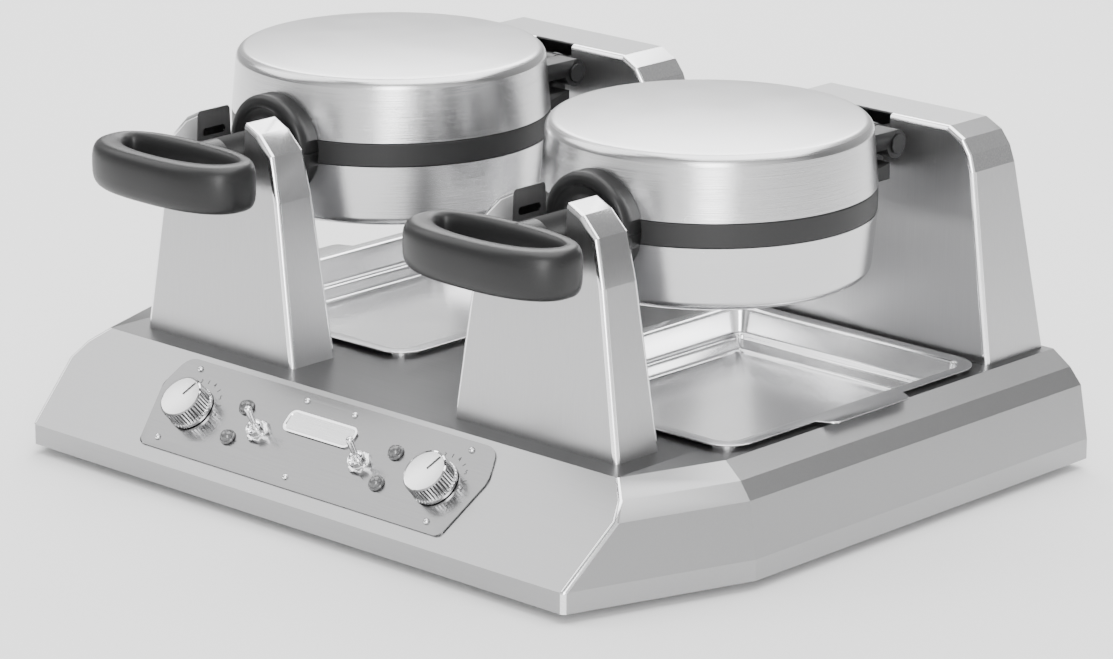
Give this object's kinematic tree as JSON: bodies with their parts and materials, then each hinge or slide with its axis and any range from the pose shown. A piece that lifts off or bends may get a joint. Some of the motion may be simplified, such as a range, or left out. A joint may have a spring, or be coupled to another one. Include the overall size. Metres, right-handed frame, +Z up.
{
  "type": "double rotary waffle maker",
  "caption": "Countertop waffle maker with twin round heads that flip on stems between front pedestals and rear towers, over lift-out drip trays, with a sloped control panel.",
  "frame": {"origin": "centre of the footprint box, on the plane of the feet", "axes": "+X to the object's right as the user faces it, +Y from the user to the back, +Z up"},
  "size_m": [0.54, 0.45, 0.2452],
  "materials": {
    "stainless_deck": "brushed",
    "stainless_brushed": "brushed",
    "stainless_drum": "brushed round the drum",
    "stainless_polished": "polished",
    "panel_plate": "fine satin",
    "polished_steel": "polished",
    "chrome_trim": "chromed",
    "knob_metal": "bright fluted",
    "badge_plate": "satin",
    "zinc_steel": "zinc plated",
    "cast_plate": "dark non-stick cast",
    "heater_sheath": "heat-darkened",
    "band_black": "matt",
    "handle_black": "fine texture",
    "black_plastic": "matt",
    "dark_hinge": "black paint",
    "bearing_plastic": "self-lubricating",
    "pale_plastic": "moulded",
    "foot_rubber": "matt",
    "lamp_lens": "dark translucent, unlit"
  },
  "bodies": {
    "base": {"badge": "badge_plate", "base_plate": "zinc_steel", "base_shell": "stainless_deck", "control_panel": "panel_plate", "cord_gland": "black_plastic", "cover_screws": "polished_steel", "feet": "foot_rubber", "foot_screws": "zinc_steel", "left_pedestal": "stainless_brushed", "left_switch_body": "black_plastic", "left_thermostat": "zinc_steel", "left_tower": "stainless_brushed", "panel_screws": "polished_steel", "pilot_lamps": "lamp_lens", "right_pedestal": "stainless_brushed", "right_switch_body": "black_plastic", "right_thermostat": "zinc_steel", "right_tower": "stainless_brushed", "shaft_bearings": "bearing_plastic", "stem_saddles": "bearing_plastic", "switch_nuts": "chrome_trim", "terminal_block": "pale_plastic", "tower_covers": "stainless_brushed"},
    "left_lower_head": {"left_lower_housing": "stainless_drum", "left_lower_waffle_plate": "cast_plate", "left_lower_heater": "heater_sheath", "left_parting_band": "band_black", "left_lower_collar": "handle_black", "left_hinge_bracket": "dark_hinge", "left_hinge_pin": "polished_steel", "left_turning_shaft": "polished_steel"},
    "left_lid": {"left_upper_housing": "stainless_drum", "left_upper_waffle_plate": "cast_plate", "left_upper_heater": "heater_sheath", "left_upper_collar": "handle_black", "left_handle": "handle_black", "left_lid_hinge_arms": "dark_hinge"},
    "left_tray": {"left_drip_tray": "stainless_polished"},
    "left_dial": {"left_knob": "knob_metal", "left_dial_shaft": "zinc_steel"},
    "left_switch": {"left_switch_lever": "chrome_trim"},
    "right_lower_head": {"right_lower_housing": "stainless_drum", "right_lower_waffle_plate": "cast_plate", "right_lower_heater": "heater_sheath", "right_parting_band": "band_black", "right_lower_collar": "handle_black", "right_hinge_bracket": "dark_hinge", "right_hinge_pin": "polished_steel", "right_turning_shaft": "polished_steel"},
    "right_lid": {"right_upper_housing": "stainless_drum", "right_upper_waffle_plate": "cast_plate", "right_upper_heater": "heater_sheath", "right_upper_collar": "handle_black", "right_handle": "handle_black", "right_lid_hinge_arms": "dark_hinge"},
    "right_tray": {"right_drip_tray": "stainless_polished"},
    "right_dial": {"right_knob": "knob_metal", "right_dial_shaft": "zinc_steel"},
    "right_switch": {"right_switch_lever": "chrome_trim"}
  },
  "joints": [
    {"name": "left_head_flip", "type": "hinge", "parent": "base", "child": "left_lower_head", "pos_m": [-0.1355, 0.0025, 0.19394], "axis": [0, -1, 0], "range_deg": [-180, 0]},
    {"name": "left_lid_open", "type": "hinge", "parent": "left_lower_head", "child": "left_lid", "pos_m": [-0.1355, 0.1365, 0.20544], "axis": [-1, 0, 0], "range_deg": [0, 95]},
    {"name": "left_tray_lift", "type": "slide", "parent": "base", "child": "left_tray", "axis": [0, 0, 1], "range_m": [0, 0.04]},
    {"name": "left_dial_turn", "type": "hinge", "parent": "base", "child": "left_dial", "pos_m": [-0.112, -0.19497, 0.04692], "axis": [0, -0.6809, 0.7323], "range_deg": [-98, 147]},
    {"name": "left_switch_throw", "type": "hinge", "parent": "base", "child": "left_switch", "pos_m": [-0.0505, -0.19916, 0.04849], "axis": [1, 0, 0], "range_deg": [0, 36]},
    {"name": "right_head_flip", "type": "hinge", "parent": "base", "child": "right_lower_head", "pos_m": [0.1355, 0.0025, 0.19394], "axis": [0, -1, 0], "range_deg": [-180, 0]},
    {"name": "right_lid_open", "type": "hinge", "parent": "right_lower_head", "child": "right_lid", "pos_m": [0.1355, 0.1365, 0.20544], "axis": [-1, 0, 0], "range_deg": [0, 95]},
    {"name": "right_tray_lift", "type": "slide", "parent": "base", "child": "right_tray", "axis": [0, 0, 1], "range_m": [0, 0.04]},
    {"name": "right_dial_turn", "type": "hinge", "parent": "base", "child": "right_dial", "pos_m": [0.099, -0.19497, 0.04692], "axis": [0, -0.6809, 0.7323], "range_deg": [-98, 147]},
    {"name": "right_switch_throw", "type": "hinge", "parent": "base", "child": "right_switch", "pos_m": [0.0375, -0.19916, 0.04849], "axis": [1, 0, 0], "range_deg": [0, 36]}
  ]
}
